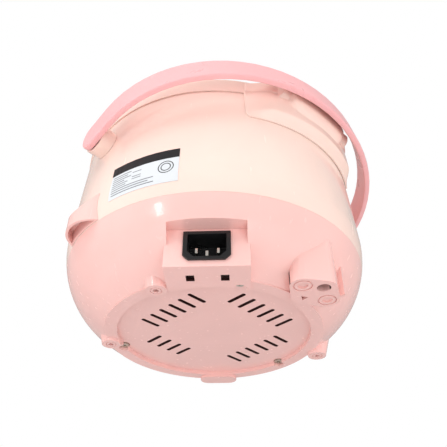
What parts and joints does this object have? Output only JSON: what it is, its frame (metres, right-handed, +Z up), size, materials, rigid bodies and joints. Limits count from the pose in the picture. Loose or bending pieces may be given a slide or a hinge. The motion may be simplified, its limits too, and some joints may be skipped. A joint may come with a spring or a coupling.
{
  "type": "rice cooker",
  "caption": "Round electric rice cooker with hinged domed lid, swing carrying handle, inner pot, base vents and a rear power inlet.",
  "frame": {"origin": "on the standing plane, under the axis of the body", "axes": "+Z up, +Y to the lid hinge at the rear, -Y to the controls at the front, X along the hinge pin and the handle pivots"},
  "size_m": [0.2592, 0.2574, 0.203],
  "materials": {
    "shell_pink": "glossy moulded plastic",
    "body_cream": "glossy moulded plastic",
    "strap_pink": "glossy moulded plastic",
    "label_film": "printed film, plain",
    "inlet_black": "black moulded plastic",
    "pin_metal": "plated contact blades",
    "steel": "zinc plated steel",
    "aluminium": "satin cast and pressed aluminium",
    "pot_coating": "non-stick coated aluminium",
    "panel_white": "satin moulded plastic",
    "lamp_red": "clear red lens",
    "lamp_amber": "clear amber lens",
    "switch_black": "moulded switch case",
    "wire_red": "wire insulation",
    "fuse_sleeve": "woven glass sleeve",
    "band_grey": "mica and foil band",
    "silicone": "translucent silicone"
  },
  "bodies": {
    "root": {"bottom_shell": "shell_pink", "base_screws": "steel", "inlet_socket": "inlet_black", "inlet_pins": "pin_metal", "outer_body": "body_cream", "rating_label": "label_film", "spoon_holder": "shell_pink", "top_ring": "body_cream", "hinge_housing": "body_cream", "hinge_pin": "steel", "hinge_springs": "steel", "handle_pivots": "body_cream", "inner_liner": "steel", "warming_band": "band_grey", "heating_plate": "aluminium", "element_terminals": "steel", "plate_legs": "steel", "plate_screws": "steel", "thermostat_sleeve": "steel", "thermostat_spring": "steel", "thermal_fuse": "fuse_sleeve", "inner_pot": "pot_coating", "control_panel": "panel_white", "cook_lamp": "lamp_red", "warm_lamp": "lamp_amber", "lever_axle": "steel", "lever_bracket": "steel", "micro_switch": "switch_black", "mains_leads": "wire_red", "latch_spring": "steel"},
    "lid": {"lid_shell": "body_cream", "lid_knuckle": "body_cream", "lid_underside": "panel_white", "lid_heat_plate": "aluminium", "lid_plate_stud": "silicone", "lid_gasket": "silicone", "steam_gasket": "silicone", "lid_catch": "panel_white"},
    "steam_vent": {"steam_cap": "panel_white"},
    "swing_handle": {"handle": "strap_pink"},
    "thermostat": {"thermostat_plunger": "aluminium"},
    "lever": {"cook_lever": "panel_white"},
    "button": {"latch_button": "strap_pink"}
  },
  "joints": [
    {"name": "lid_hinge", "type": "hinge", "parent": "root", "child": "lid", "pos_m": [0, 0.1132, 0.151], "axis": [-1, 0, 0], "range_deg": [0, 52]},
    {"name": "handle_swing", "type": "hinge", "parent": "root", "child": "swing_handle", "pos_m": [0, 0, 0.125], "axis": [1, 0, 0], "range_deg": [0, 150]},
    {"name": "steam_cap_lift", "type": "slide", "parent": "lid", "child": "steam_vent", "axis": [0, 0, 1], "range_m": [0, 0.02]},
    {"name": "cook_lever_press", "type": "hinge", "parent": "root", "child": "lever", "pos_m": [0, -0.088, 0.036], "axis": [1, 0, 0], "range_deg": [0, 6], "stiffness_Nm_per_rad": 1.2, "springref_deg": -6.88},
    {"name": "thermostat_travel", "type": "slide", "parent": "root", "child": "thermostat", "axis": [0, 0, -1], "range_m": [0, 0.002], "stiffness_N_per_m": 900, "springref_m": -0.003, "deforming": ["thermostat_spring"]},
    {"name": "latch_button_press", "type": "slide", "parent": "root", "child": "button", "axis": [0, 1, 0], "range_m": [0, 0.0025], "stiffness_N_per_m": 600, "springref_m": -0.002, "deforming": ["latch_spring"]}
  ]
}
